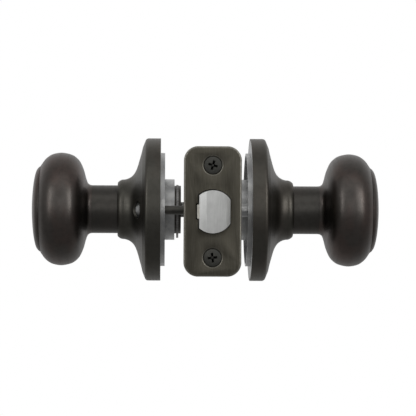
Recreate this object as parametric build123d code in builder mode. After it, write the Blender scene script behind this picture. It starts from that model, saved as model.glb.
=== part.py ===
"""Tubular passage knob set: two knobs, two roses and a spring latch.

Frame, in millimetres: the origin is where the knobs' axis crosses the middle of the
door. +X runs along the knobs' axis to the exterior, -Y points out of the door's edge,
where the bolt comes out, and +Z is up.
"""

import os
from math import cos, radians, sin

from build123d import *

os.makedirs("parts", exist_ok=True)

# ---- the door that the set fits
door_thickness = 42.0
cross_bore_r = 27.0
backset = 60.3
latch_x = 2.0                      # the latch sits this far to the exterior side of mid-door
rest_gap = 0.05                    # between pieces of one body that seat on each other
running_gap = 0.06                 # radial, shaft in bearing
free_gap = 0.3                     # between pieces that pass each other

# ---- roses
rose_r = 33.45
rose_flange = 5.65                 # straight side, measured out from the door
rose_height = 20.1
rose_lip_gap = 1.4                 # from the shank to the top of the rose's rounded lip
rose_wall = 0.9

# ---- chassis plates behind the roses
chassis_thickness = 1.6
spigot_r = 26.6
spigot_wall = 1.2
spigot_length = 2.0

# ---- knob shanks and their bearings
shank_r = 11.25
shank_wall = 1.8
shank_inner_end = 9.5              # how far it reaches into the door
shank_step = 32.05                 # where the knob's shell starts, from the door
drive_web_end = 8.0                # the web that the spindle drives, from the door
bushing_wall = 1.5
bushing_flange = 1.0
bushing_flange_lap = 0.4           # how far the flange covers the hub tube's end
hub_tube_wall = 1.4
hub_tube_end = 11.5                # from the door, outwards
hub_tube_inner = 6.5               # from the door, inwards
ring_groove_depth = 1.1
ring_width = 1.1
ring_reach = 2.1                   # how far the ring stands out of the shank

# ---- knobs
knob_r = 26.45
knob_widest = 45.95                # distance of the widest circle from the door
knob_wall = 1.3
face_r = 20.2
rim_lip = 0.5                      # how far the shell's front edge stands out round the face
face_seat = 56.05                  # where shell and face meet, from the door
knob_reach = 60.25                 # top of the domed face, from the door

# ---- through fixings between the chassis plates
fixing_spacing = 41.3
screw_r = 2.05
screw_head_r = 3.75
screw_head = 2.4
screw_tip = 19.0                   # how far past mid-door the screws reach
boss_r = 4.6
boss_height = 6.8
recess_r = 4.2
post_r = 3.1
post_foot = 2.3                    # radius of the staked foot

# ---- spindle
spindle_side = 7.0
spindle_half = 25.0

# ---- latch plates
plate_width = 25.4
plate_height = 57.15
plate_corner = 6.35
faceplate_thickness = 1.6
faceplate_round = 0.7
backplate_thickness = 1.4
backplate_inset = 0.4
barrel_seat_gap = 0.1              # between the backplate and the barrel behind it
barrel_recess = 0.4                # depth of the round recess pressed in front of the barrel
bolt_gap = 0.45                    # round the bolt in the faceplate
wood_screw_spacing = 40.5
wood_screw_r = 2.0
wood_screw_head_r = 3.95
wood_screw_length = 19.0
wood_screw_neck_r = 2.2            # plain neck through the two plates
dimple_r = 4.6                     # pressed seat round each screw head
dimple_depth = 0.3

# ---- bolt
bolt_r = 9.3
bolt_flat = -6.0                   # x of the bolt's flat side
bolt_far = 7.7                     # x of its cut-off bevel side
bolt_throw = 12.7
bolt_land = 3.0                    # flat nose beside the bevel
bolt_heel = 1.6                    # how far the bevel's foot stands out of the plate
strip_height = 6.1
strip_proud = 0.87
strip_depth = 0.8
strip_set_back = 1.0               # from the bolt's nose to the end of the strip's groove
collar_rim = 0.6                   # how far the collar stands out of the bolt
stem_r = 1.5
stem_head_r = 2.8
stem_head = 1.4

# ---- latch body
collar_gap = 0.25                  # collar in barrel, radial
barrel_wall = 0.95
case_inner = 4.1                   # from mid-door to the side plates
case_thickness = 1.2
case_half_height = 9.6             # small enough to follow the barrel through the edge bore
case_tongue_half = 6.4
case_rear = 26.0                   # from the knobs' axis
case_hole_r = 2.6
rivet_y = 14.0
rivet_z = 6.8
rivet_r = 1.3

# ---- retractor
retract_travel = 12.5
push_travel = 12.5
turn_range = 72.0                  # degrees of knob turn for the whole travel
nose_r = 1.05
arm_root_r = 2.2
cam_gap = 0.45
head_foot = 0.8                    # from the nose's centre up to the foot of the yoke's head
core_r = 6.3
journal_r = 5.9
arm_inner = 2.1                    # from mid-door to the arm plates
arm_outer = 3.8
yoke_inner_z = 6.6
yoke_strap = 1.0
yoke_half_width = 3.0              # at the web
yoke_neck_half = 1.8               # between the hub's arms
yoke_web = 1.2
yoke_head = 1.6
seat_thickness = 1.2
end_play = 0.15                    # left between collar and seat at full travel

# ---- spring
spring_wire = 0.8
spring_clear = 1.0                 # from the collar's rim in to the middle of the wire
spring_turns = 9

# ---- worked out from the above
half_door = door_thickness / 2
plate_front = -backset
plate_back = plate_front + faceplate_thickness
backplate_back = plate_back + rest_gap + backplate_thickness
fixing_y = fixing_spacing / 2
turn = radians(turn_range)
arm_r = retract_travel / (2 * sin(turn / 2))
nose_y = -arm_r * sin(turn / 2)
nose_z = arm_r * cos(turn / 2)
yoke_face_y = nose_y + nose_r + cam_gap
yoke_outer_z = yoke_inner_z + yoke_strap
seat_back_y = -fixing_y - screw_r - 0.2
seat_front_y = seat_back_y - seat_thickness
stem_head_back_y = seat_back_y - retract_travel - push_travel
web_back_y = stem_head_back_y - stem_head - rest_gap
web_front_y = web_back_y - yoke_web
cavity_front_y = web_front_y - push_travel - free_gap
collar_back_y = seat_front_y - retract_travel - push_travel - end_play
barrel_front_y = backplate_back + barrel_seat_gap
barrel_back_y = seat_front_y - rest_gap
collar_r = bolt_r + collar_rim
barrel_bore_r = collar_r + collar_gap
barrel_r = barrel_bore_r + barrel_wall
spring_mean_r = collar_r - spring_clear
post_end = latch_x + barrel_r + 3 * free_gap
bushing_r = shank_r + running_gap + bushing_wall
hub_tube_bore_r = bushing_r + rest_gap
hub_tube_r = hub_tube_bore_r + hub_tube_wall
rose_lip_r = shank_r + rose_lip_gap
strip_x = bolt_flat - strip_proud


def side_plane(side: int, out: float = 0.0) -> Plane:
    """Plane square to the knobs' axis, `out` from the door's face and facing away from it."""
    return Plane(origin=(side * (half_door + out), 0, 0), x_dir=(0, 1, 0), z_dir=(side, 0, 0))


def profile_plane(side: int) -> Plane:
    """Plane of a half section: x is the distance out from the door's face, y the radius."""
    return Plane(origin=(side * half_door, 0, 0), x_dir=(side, 0, 0), z_dir=(0, -side, 0))


def edge_plane(y: float, z: float = 0.0) -> Plane:
    """Plane square to the latch's axis at y: its x is X, its y is Z, and it faces -Y."""
    return Plane(origin=(latch_x, y, z), x_dir=(1, 0, 0), z_dir=(0, -1, 0))


def latch_side_plane(out: float) -> Plane:
    """Plane parallel to the latch's side plates, `out` from the latch's axis: x is Y, y is Z."""
    return Plane.YZ.offset(latch_x + out)


def spin_profile(side: int, *corners: tuple) -> None:
    """Add the ring whose half section has these (distance out, radius) corners."""
    with BuildSketch(profile_plane(side)) as section:
        with BuildLine():
            Polyline(*corners, close=True)
        make_face()
    revolve(section.sketch, axis=Axis.X)


def spin_box(side: int, start: float, end: float, inner: float, outer: float) -> None:
    """Add a plain tube, or a disc where `inner` is 0, from `start` to `end` out of the door."""
    spin_profile(side, (start, inner), (end, inner), (end, outer), (start, outer))


def finish(piece: Part, node: str) -> None:
    """Label a finished piece and write it to its own file."""
    piece.label = node
    export_step(piece, f"parts/{node}.step")


def inset_points(curve: Edge, wall: float, first: float = 0.0, steps: int = 8) -> list:
    """Points along a curve from `first` to its end, moved `wall` to its right-hand side."""
    places = []
    for step in range(steps + 1):
        along = first + (1 - first) * step / steps
        way = (curve % along).normalized()
        places.append(curve @ along + Vector(way.Y, -way.X, 0) * wall)
    return places


# ------------------------------------------------------------------ roses
def build_rose(side: int, recesses: bool) -> Part:
    """Thin cover: straight flange, sloping disc, trumpet throat and a rounded lip."""
    corner = (rose_flange + 1.45, rose_r - 0.85)
    slope_end = (rose_flange + 2.75, rose_r - 4.1)
    throat = (rose_height - 7.3, rose_lip_r + 3.65)
    neck = (rose_height - 3.1, rose_lip_r + 1.35)
    hole_r = shank_r + 2 * free_gap
    inner_r = rose_r - rose_wall
    with BuildPart() as rose:
        with BuildSketch(profile_plane(side)):
            with BuildLine():
                flange = Line((0, rose_r), (rose_flange, rose_r))
                ThreePointArc(flange @ 1, (rose_flange + 0.95, rose_r - 0.3), corner)
                Line(corner, slope_end)
                ogee = Spline(
                    slope_end, (rose_flange + 4.5, 0.49 * (rose_r + rose_lip_r)), throat, neck,
                    tangents=[(0.2, -1.0), (1.0, -0.18)],
                )
                lip = ThreePointArc(neck, (rose_height - 0.8, rose_lip_r + 0.75), (rose_height, rose_lip_r))
                Polyline(
                    lip @ 1, (rose_height, hole_r), (rose_height - rose_wall, hole_r),
                    (rose_height - rose_wall, rose_lip_r - 0.3),
                    (rose_height - 3.1, rose_lip_r + 1.35 - rose_wall),
                )
                under = Spline(*reversed(inset_points(ogee, rose_wall)))
                Line((rose_height - 3.1, rose_lip_r + 1.35 - rose_wall), under @ 0)
                Polyline(
                    under @ 1, (corner[0] - rose_wall, corner[1] - 0.6), (rose_flange - 0.2, inner_r),
                    (0, inner_r), flange @ 0,
                )
            make_face()
        revolve(axis=Axis.X)
        if recesses:
            with BuildSketch(side_plane(side)):
                with Locations((fixing_y, 0), (-fixing_y, 0)):
                    Circle(recess_r)
            extrude(amount=rose_height, mode=Mode.SUBTRACT)
    return rose.part


# ------------------------------------------------------------------ chassis plates
def build_chassis(side: int, bosses: bool) -> Part:
    """Liner plate with the ring for the cross bore, the hub tube and the fixing holes."""
    plate_r = rose_r - rose_wall - rest_gap
    hole_r = screw_r + running_gap if bosses else post_foot + rest_gap
    with BuildPart() as chassis:
        spin_box(side, 0, chassis_thickness, hub_tube_bore_r, plate_r)
        spin_box(side, -spigot_length, 0, spigot_r - spigot_wall, spigot_r)
        spin_box(side, -hub_tube_inner, hub_tube_end, hub_tube_bore_r, hub_tube_r)
        if bosses:
            with BuildSketch(side_plane(side, chassis_thickness)):
                with Locations((fixing_y, 0), (-fixing_y, 0)):
                    Circle(boss_r)
            extrude(amount=boss_height - chassis_thickness)
        with BuildSketch(side_plane(side, -1)):
            with Locations((fixing_y, 0), (-fixing_y, 0)):
                Circle(hole_r)
        extrude(amount=boss_height + 2, mode=Mode.SUBTRACT)
    return chassis.part


def build_bushing(side: int) -> Part:
    """Sleeve bearing with a flange that keeps it from sliding in."""
    bore = shank_r + running_gap
    with BuildPart() as bushing:
        spin_box(side, -hub_tube_inner, hub_tube_end + rest_gap, bore, bushing_r)
        flange_start = hub_tube_end + rest_gap
        flange_r = hub_tube_r + bushing_flange_lap
        spin_box(side, flange_start, flange_start + bushing_flange, bore, flange_r)
    return bushing.part


# ------------------------------------------------------------------ knobs
def build_shank(side: int) -> Part:
    """Sleeve with a web that the spindle drives, a ring groove and a step for the shell."""
    groove_start = -shank_inner_end + ring_width
    groove_r = shank_r - ring_groove_depth
    step_r = shank_r - 0.8
    bore_r = shank_r - shank_wall
    with BuildPart() as shank:
        spin_profile(
            side,
            (-shank_inner_end, 0), (drive_web_end, 0), (drive_web_end, bore_r),
            (shank_step + 3.0, bore_r), (shank_step + 3.0, step_r), (shank_step, step_r),
            (shank_step, shank_r), (groove_start + ring_width, shank_r),
            (groove_start + ring_width, groove_r), (groove_start, groove_r),
            (groove_start, shank_r), (-shank_inner_end, shank_r),
        )
        with BuildSketch(side_plane(side, -shank_inner_end)):
            Rectangle(spindle_side + 2 * rest_gap, spindle_side + 2 * rest_gap)
        extrude(amount=shank_inner_end + drive_web_end, mode=Mode.SUBTRACT)
    return shank.part


def build_knob_shell(side: int) -> Part:
    """Hollow mushroom grip, open at the front for its face disc."""
    start = shank_step + rest_gap
    rim_r = face_r + rim_lip
    hole_r = shank_r - 0.8 + rest_gap
    with BuildPart() as shell:
        with BuildSketch(profile_plane(side)):
            with BuildLine():
                back = Spline(
                    (start, shank_r), (start + 1.1, shank_r + 0.25), (start + 2.1, shank_r + 1.05),
                    (start + 3.0, shank_r + 3.4), (start + 4.1, shank_r + 7.3),
                    (start + 5.9, shank_r + 11.2), (start + 7.7, knob_r - 2.1),
                    (start + 9.6, knob_r - 0.95), (knob_widest, knob_r),
                    tangents=[(1.0, 0.05), (1.0, 0.0)], tangent_scalars=[0.5, 0.5],
                )
                front = Spline(
                    back @ 1, (knob_widest + 5.4, knob_r - 1.0), (face_seat, rim_r),
                    tangents=[(1.0, 0.0), (0.62, -1.0)],
                )
                front_under = Spline(*reversed(inset_points(front, knob_wall)))
                Line(front @ 1, front_under @ 0)
                back_under = Spline(*reversed(inset_points(back, knob_wall, first=0.2)))
                Polyline(
                    back_under @ 1, (start + 2.6, hole_r), (start, hole_r), (start, shank_r)
                )
            make_face()
        revolve(axis=Axis.X)
    return shell.part


def build_knob_face(side: int) -> Part:
    """Domed disc with a skirt that seats inside the shell's front edge."""
    skirt_r = face_r + rim_lip - knob_wall - rest_gap
    seat = face_seat + rest_gap
    dome = (0.0, face_r - 5.2, face_r - 1.95, face_r - 0.7)
    with BuildPart() as face:
        with BuildSketch(profile_plane(side)) as section:
            with BuildLine():
                outer = Spline(
                    (knob_reach, 0), (knob_reach - 1.2, dome[1]), (knob_reach - 2.1, dome[2]),
                    (seat + 1.3, dome[3]), tangents=[(0.0, 1.0), (-1.0, 0.85)],
                )
                rim = Line(outer @ 1, (seat, face_r))
                skirt = Polyline(
                    rim @ 1, (seat, skirt_r), (seat - 3.0, skirt_r), (seat - 3.0, skirt_r - 1.2),
                    (seat, skirt_r - 1.2), (seat + 0.9, skirt_r - 2.4),
                )
                inner = Spline(
                    skirt @ 1, (knob_reach - 2.45, dome[1] - 1.0), (knob_reach - 1.3, 0),
                    tangents=[(1.0, -1.2), (0.0, -1.0)],
                )
                Line(inner @ 1, outer @ 0)
            make_face()
        revolve(axis=Axis.X)
    return face.part


def build_retaining_ring(side: int) -> Part:
    """Open ring that sits in the shank's groove and keeps the knob from pulling out."""
    start = -shank_inner_end + ring_width + rest_gap
    groove_r = shank_r - ring_groove_depth + rest_gap
    with BuildPart() as ring:
        spin_box(side, start, start + ring_width - 2 * rest_gap, groove_r, shank_r + ring_reach)
        with BuildSketch(side_plane(side, start - 1)):
            with Locations((0, -shank_r)):
                Rectangle(groove_r * 1.3, shank_r * 1.6)
        extrude(amount=ring_width + 2, mode=Mode.SUBTRACT)
    return ring.part


for side, name in ((-1, "interior"), (1, "exterior")):
    interior = side < 0
    finish(build_rose(side, interior), f"{name}_rose")
    finish(build_chassis(side, interior), f"{name}_chassis")
    finish(build_bushing(side), f"{name}_bushing")
    finish(build_shank(side), f"{name}_knob_shank")
    finish(build_knob_shell(side), f"{name}_knob_shell")
    finish(build_knob_face(side), f"{name}_knob_face")
    finish(build_retaining_ring(side), f"{name}_retaining_ring")

# ------------------------------------------------------------------ through fixings
with BuildPart() as mounting_posts:
    with BuildSketch(Plane.YZ.offset(post_end)):
        with Locations((fixing_y, 0), (-fixing_y, 0)):
            Circle(post_r)
    extrude(amount=half_door - rest_gap - post_end)
    with BuildSketch(Plane.YZ.offset(half_door - rest_gap)):
        with Locations((fixing_y, 0), (-fixing_y, 0)):
            Circle(post_foot)
    extrude(amount=chassis_thickness)
    with BuildSketch(Plane.YZ.offset(post_end)):
        with Locations((fixing_y, 0), (-fixing_y, 0)):
            Circle(screw_r + rest_gap)
    extrude(amount=half_door - post_end - 1.5, mode=Mode.SUBTRACT)
finish(mounting_posts.part, "mounting_posts")

head_seat_x = -half_door - boss_height - rest_gap
with BuildPart() as mounting_screws:
    with BuildSketch(Plane.YZ.offset(head_seat_x)):
        with Locations((fixing_y, 0), (-fixing_y, 0)):
            Circle(screw_r)
    extrude(amount=screw_tip - head_seat_x)
    with BuildSketch(Plane.YZ.offset(head_seat_x)):
        with Locations((fixing_y, 0), (-fixing_y, 0)):
            Circle(screw_head_r)
    extrude(amount=-screw_head)
    fillet(mounting_screws.edges().group_by(Axis.X)[0], 0.9)
    with BuildSketch(Plane.YZ.offset(head_seat_x - screw_head)):
        with Locations((fixing_y, 0), (-fixing_y, 0)):
            Rectangle(3.6, 0.9, rotation=20)
            Rectangle(0.9, 3.6, rotation=20)
    extrude(amount=1.3, mode=Mode.SUBTRACT)
finish(mounting_screws.part, "mounting_screws")

with BuildPart() as spindle:
    with BuildSketch(Plane.YZ.offset(-spindle_half)):
        Rectangle(spindle_side, spindle_side)
    extrude(amount=2 * spindle_half)
    chamfer(spindle.faces().sort_by(Axis.X)[0].edges(), 0.6)
    chamfer(spindle.faces().sort_by(Axis.X)[-1].edges(), 0.6)
finish(spindle.part, "spindle")


# ------------------------------------------------------------------ latch plates
def bolt_section(grow: float = 0.0) -> Sketch:
    """The bolt's end view, a circle cut off at both sides, made larger by `grow`."""
    width = bolt_far - bolt_flat + 2 * grow
    with BuildSketch() as section:
        Circle(bolt_r + grow)
        with Locations(((bolt_far + bolt_flat) / 2, 0)):
            Rectangle(width, 3 * bolt_r, mode=Mode.INTERSECT)
    return section.sketch


def add_bolt_opening(y: float, depth: float) -> None:
    """Cut the opening that the bolt and its strip pass through, from y inwards."""
    with BuildSketch(edge_plane(y)) as opening:
        add(bolt_section(bolt_gap))
        with Locations(((strip_x - bolt_gap) / 2, 0)):
            Rectangle(-strip_x + bolt_gap, strip_height + 2 * bolt_gap)
    extrude(opening.sketch, amount=-depth, mode=Mode.SUBTRACT)


screw_places = ((0, wood_screw_spacing / 2), (0, -wood_screw_spacing / 2))
sink_depth = wood_screw_head_r - wood_screw_neck_r
sink_r = wood_screw_neck_r + free_gap

with BuildPart() as latch_faceplate:
    with BuildSketch(edge_plane(plate_back)):
        RectangleRounded(plate_width, plate_height, plate_corner)
    extrude(amount=faceplate_thickness)
    fillet(latch_faceplate.faces().sort_by(Axis.Y)[0].edges(), faceplate_round)
    add_bolt_opening(plate_front - 1, faceplate_thickness + 2)
    with BuildSketch(edge_plane(plate_front)):
        with Locations(*screw_places):
            Circle(dimple_r)
    extrude(amount=-dimple_depth, mode=Mode.SUBTRACT)
    for x, z in screw_places:
        with Locations(edge_plane(plate_front + dimple_depth, z)):
            CounterSinkHole(sink_r, wood_screw_head_r + free_gap, depth=10)
finish(latch_faceplate.part, "latch_faceplate")

with BuildPart() as latch_backplate:
    with BuildSketch(edge_plane(backplate_back)):
        RectangleRounded(
            plate_width - 2 * backplate_inset,
            plate_height - 2 * backplate_inset,
            plate_corner - backplate_inset,
        )
    extrude(amount=backplate_thickness)
    with BuildSketch(edge_plane(backplate_back - barrel_recess)):
        Circle(barrel_r + free_gap)
    extrude(amount=-2 * barrel_recess, mode=Mode.SUBTRACT)
    add_bolt_opening(plate_front, 2 * (faceplate_thickness + backplate_thickness))
    for x, z in screw_places:
        with Locations(edge_plane(plate_front + dimple_depth, z)):
            CounterSinkHole(sink_r, wood_screw_head_r + free_gap, depth=10)
finish(latch_backplate.part, "latch_backplate")

wood_screw_front = plate_front + dimple_depth
neck_end = backplate_back + free_gap - wood_screw_front
with BuildPart() as faceplate_screws:
    for x, z in screw_places:
        with BuildSketch(Plane.XY) as half:
            with BuildLine():
                Polyline(
                    (0, 0), (wood_screw_head_r, 0), (wood_screw_head_r, 0.25),
                    (wood_screw_neck_r, 0.25 + sink_depth), (wood_screw_neck_r, neck_end),
                    (wood_screw_r, neck_end), (wood_screw_r, wood_screw_length - 4.0),
                    (0.3, wood_screw_length), (0, wood_screw_length), close=True,
                )
            make_face()
        whole = revolve(half.sketch, axis=Axis.Y, mode=Mode.PRIVATE)
        add(whole.moved(Location((latch_x + x, wood_screw_front, z))))
    for (x, z), tilt in zip(screw_places, (16, -7)):
        with BuildSketch(edge_plane(wood_screw_front)):
            with Locations((x, z)):
                Rectangle(4.0, 0.9, rotation=tilt)
                Rectangle(0.9, 4.0, rotation=tilt)
        extrude(amount=-1.6, mode=Mode.SUBTRACT)
finish(faceplate_screws.part, "faceplate_screws")

# ------------------------------------------------------------------ latch body
with BuildPart() as latch_barrel:
    with BuildSketch(edge_plane(barrel_back_y)):
        Circle(barrel_r)
        Circle(barrel_bore_r, mode=Mode.SUBTRACT)
    extrude(amount=barrel_back_y - barrel_front_y)
finish(latch_barrel.part, "latch_barrel")

case_middle = case_inner + case_thickness / 2
with BuildPart() as spring_seat:
    with BuildSketch(edge_plane(seat_back_y)):
        Circle(barrel_r - free_gap)
        Rectangle(
            2 * (yoke_half_width + free_gap), 2 * (yoke_outer_z + free_gap), mode=Mode.SUBTRACT
        )
        with Locations((case_middle, 0), (-case_middle, 0)):
            Rectangle(
                case_thickness + 2 * rest_gap, 2 * (case_tongue_half + rest_gap), mode=Mode.SUBTRACT
            )
    extrude(amount=seat_thickness)
finish(spring_seat.part, "spring_seat")


def build_case_plate(side: int) -> Part:
    """Side plate: a tongue through the spring seat, the hub's journal hole and fixing holes."""
    start = seat_front_y
    shoulder = seat_back_y + rest_gap
    with BuildPart() as plate:
        with BuildSketch(latch_side_plane(side * case_inner)):
            with BuildLine():
                Polyline(
                    (start, -case_tongue_half), (start, case_tongue_half),
                    (shoulder, case_tongue_half), (shoulder, case_half_height),
                    (case_rear, case_half_height), (case_rear, -case_half_height),
                    (shoulder, -case_half_height), (shoulder, -case_tongue_half), close=True,
                )
            corners = make_face()
            fillet(corners.vertices().group_by(Axis.X)[-1], 4.0)
            Circle(journal_r + running_gap, mode=Mode.SUBTRACT)
            with Locations((fixing_y, 0), (-fixing_y, 0)):
                Circle(case_hole_r, mode=Mode.SUBTRACT)
            with Locations((rivet_y, rivet_z), (rivet_y, -rivet_z)):
                Circle(rivet_r + rest_gap, mode=Mode.SUBTRACT)
        extrude(amount=side * case_thickness)
    return plate.part


finish(build_case_plate(-1), "latch_case_left")
finish(build_case_plate(1), "latch_case_right")

with BuildPart() as case_rivets:
    with BuildSketch(latch_side_plane(-case_inner + rest_gap)):
        with Locations((rivet_y, rivet_z), (rivet_y, -rivet_z)):
            Circle(rivet_r + 0.9)
    extrude(amount=2 * (case_inner - rest_gap))
    with BuildSketch(latch_side_plane(-case_inner - case_thickness - 0.5)):
        with Locations((rivet_y, rivet_z), (rivet_y, -rivet_z)):
            Circle(rivet_r)
    extrude(amount=2 * (case_inner + case_thickness + 0.5))
finish(case_rivets.part, "case_rivets")

# ------------------------------------------------------------------ retractor
with BuildPart() as retractor_hub:
    with BuildSketch(latch_side_plane(-case_inner - case_thickness - free_gap)):
        Circle(journal_r)
    extrude(amount=2 * (case_inner + case_thickness + free_gap))
    with BuildSketch(latch_side_plane(-arm_outer)):
        Circle(core_r)
    extrude(amount=2 * arm_outer)
    for start in (-arm_outer, arm_inner):
        with BuildSketch(latch_side_plane(start)):
            for z in (nose_z, -nose_z):
                with BuildSketch(mode=Mode.PRIVATE) as arm:
                    Circle(arm_root_r)
                    with Locations((nose_y, z)):
                        Circle(nose_r)
                    make_hull()
                add(arm.sketch)
        extrude(amount=arm_outer - arm_inner)
    with BuildSketch(latch_side_plane(-case_inner - case_thickness - 1)):
        Rectangle(spindle_side + 2 * rest_gap, spindle_side + 2 * rest_gap)
    extrude(amount=2 * (case_inner + case_thickness + 1), mode=Mode.SUBTRACT)
finish(retractor_hub.part, "retractor_hub")

head_foot_z = nose_z + head_foot
head_top_z = arm_r + nose_r * 0.4
neck_start_y = seat_back_y - retract_travel - free_gap
with BuildPart() as retractor_yoke:
    with BuildSketch(Plane((latch_x, 0, -yoke_outer_z))):
        with BuildLine():
            Polyline(
                (-yoke_half_width, web_front_y), (yoke_half_width, web_front_y),
                (yoke_half_width, neck_start_y), (yoke_neck_half, neck_start_y + 1.5),
                (yoke_neck_half, yoke_face_y + yoke_head), (-yoke_neck_half, yoke_face_y + yoke_head),
                (-yoke_neck_half, neck_start_y + 1.5), (-yoke_half_width, neck_start_y), close=True,
            )
        make_face()
    extrude(amount=2 * yoke_outer_z)
    with BuildSketch(latch_side_plane(-2 * yoke_half_width)):
        with Locations((web_back_y, 0)):
            Rectangle(60, 2 * yoke_inner_z, align=(Align.MIN, Align.CENTER))
    extrude(amount=4 * yoke_half_width, mode=Mode.SUBTRACT)
    for way in (-1, 1):
        with BuildSketch(edge_plane(yoke_face_y + yoke_head)):
            with Locations((0, way * (yoke_inner_z + head_top_z) / 2)):
                Rectangle(2 * yoke_neck_half, head_top_z - yoke_inner_z)
            with Locations((0, way * (head_foot_z + head_top_z) / 2)):
                Rectangle(2 * arm_outer, head_top_z - head_foot_z)
        extrude(amount=yoke_head)
    with BuildSketch(edge_plane(web_front_y - 1)):
        Circle(stem_r + 0.2)
    extrude(amount=-yoke_web - 2, mode=Mode.SUBTRACT)
finish(retractor_yoke.part, "retractor_yoke")

# ------------------------------------------------------------------ bolt
nose_tip_y = plate_front - bolt_throw
land_end_x = bolt_flat + bolt_land
foot_x = bolt_far - 2.2
with BuildPart() as latch_bolt:
    with BuildSketch(edge_plane(barrel_front_y)):
        add(bolt_section())
    extrude(amount=barrel_front_y - nose_tip_y)
    with BuildSketch(edge_plane(collar_back_y)):
        Circle(collar_r)
    extrude(amount=collar_back_y - barrel_front_y)
    with BuildSketch(Plane((latch_x, 0, -2 * bolt_r))):
        with BuildLine():
            Polyline(
                (land_end_x, nose_tip_y - 1), (land_end_x, nose_tip_y),
                (foot_x, plate_front - bolt_heel - 2.4), (bolt_far + 1, plate_front - bolt_heel + 1.6),
                (bolt_far + 1, nose_tip_y - 1), close=True,
            )
        make_face()
    extrude(amount=4 * bolt_r, mode=Mode.SUBTRACT)
    with BuildSketch(edge_plane(collar_back_y + 1)):
        Rectangle(
            2 * (yoke_half_width + free_gap), 2 * (yoke_outer_z + free_gap)
        )
    extrude(amount=collar_back_y + 1 - cavity_front_y, mode=Mode.SUBTRACT)
    with BuildSketch(edge_plane(cavity_front_y + 1)):
        Circle(stem_r + rest_gap)
    extrude(amount=4.0 + 1, mode=Mode.SUBTRACT)
    with BuildSketch(edge_plane(barrel_front_y)):
        with Locations((bolt_flat, 0)):
            Rectangle(2 * strip_depth, strip_height + 2 * rest_gap)
    extrude(amount=barrel_front_y - nose_tip_y - strip_set_back, mode=Mode.SUBTRACT)
finish(latch_bolt.part, "latch_bolt")

with BuildPart() as bolt_wear_strip:
    with BuildSketch(edge_plane(barrel_front_y - rest_gap)):
        with Locations((strip_x, 0)):
            Rectangle(
                strip_proud + strip_depth - rest_gap, strip_height, align=(Align.MIN, Align.CENTER)
            )
    extrude(amount=barrel_front_y - nose_tip_y - strip_set_back - 2 * rest_gap)
    fillet(bolt_wear_strip.faces().sort_by(Axis.X)[0].edges(), 0.35)
finish(bolt_wear_strip.part, "bolt_wear_strip")

with BuildPart() as bolt_stem:
    with BuildSketch(edge_plane(stem_head_back_y)):
        Circle(stem_head_r)
    extrude(amount=stem_head)
    with BuildSketch(edge_plane(stem_head_back_y)):
        Circle(stem_r)
    extrude(amount=stem_head_back_y - cavity_front_y + 4.0 - rest_gap)
finish(bolt_stem.part, "bolt_stem")

# ------------------------------------------------------------------ spring
spring_front_y = collar_back_y + rest_gap + spring_wire / 2
spring_back_y = seat_front_y - rest_gap - spring_wire / 2
spring_length = spring_back_y - spring_front_y
with BuildPart() as bolt_spring:
    with BuildLine() as coil:
        Helix(
            pitch=spring_length / spring_turns, height=spring_length, radius=spring_mean_r,
            center=(latch_x, spring_front_y, 0), direction=(0, 1, 0),
        )
    with BuildSketch(Plane(origin=coil.line @ 0, z_dir=coil.line % 0)):
        Circle(spring_wire / 2)
    sweep(path=coil.line, is_frenet=True)
finish(bolt_spring.part, "bolt_spring")
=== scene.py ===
"""Looks of a tubular passage knob set: two mushroom knobs on round roses and a sprung latch.

Everything is in metres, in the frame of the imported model: +X runs along the knobs' axis to
the exterior, -Y points out of the door's edge and +Z is up.
"""

import logging
from collections.abc import Callable, Sequence
from dataclasses import dataclass, field
from enum import Enum
from math import pi, radians

import bpy  # noqa: E402
from mathutils import Matrix, Vector  # noqa: E402


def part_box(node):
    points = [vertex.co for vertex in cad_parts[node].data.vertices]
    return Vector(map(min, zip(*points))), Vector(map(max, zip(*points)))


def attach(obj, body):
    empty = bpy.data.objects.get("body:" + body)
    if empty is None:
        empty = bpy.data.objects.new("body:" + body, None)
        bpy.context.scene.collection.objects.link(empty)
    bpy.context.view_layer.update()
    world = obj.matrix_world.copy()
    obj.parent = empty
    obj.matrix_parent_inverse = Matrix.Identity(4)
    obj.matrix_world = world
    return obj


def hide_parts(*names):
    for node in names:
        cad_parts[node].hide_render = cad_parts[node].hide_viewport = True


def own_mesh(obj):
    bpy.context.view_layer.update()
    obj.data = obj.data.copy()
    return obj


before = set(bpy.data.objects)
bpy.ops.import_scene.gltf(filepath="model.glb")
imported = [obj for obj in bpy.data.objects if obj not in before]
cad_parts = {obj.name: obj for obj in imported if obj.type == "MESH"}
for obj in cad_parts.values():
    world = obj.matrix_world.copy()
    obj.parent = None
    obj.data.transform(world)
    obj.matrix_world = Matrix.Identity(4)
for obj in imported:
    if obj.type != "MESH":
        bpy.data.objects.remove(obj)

MM = 0.001
MERGE = 0.000002                   # vertices closer than this are one
Point = tuple[float, float]
Colour = tuple[float, float, float]
log = logging.getLogger("knob_set")


class Side(Enum):
    """The two sides of the door."""

    INTERIOR = -1
    EXTERIOR = 1

    @property
    def word(self) -> str:
        """The side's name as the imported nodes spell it."""
        return self.name.lower()


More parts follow.
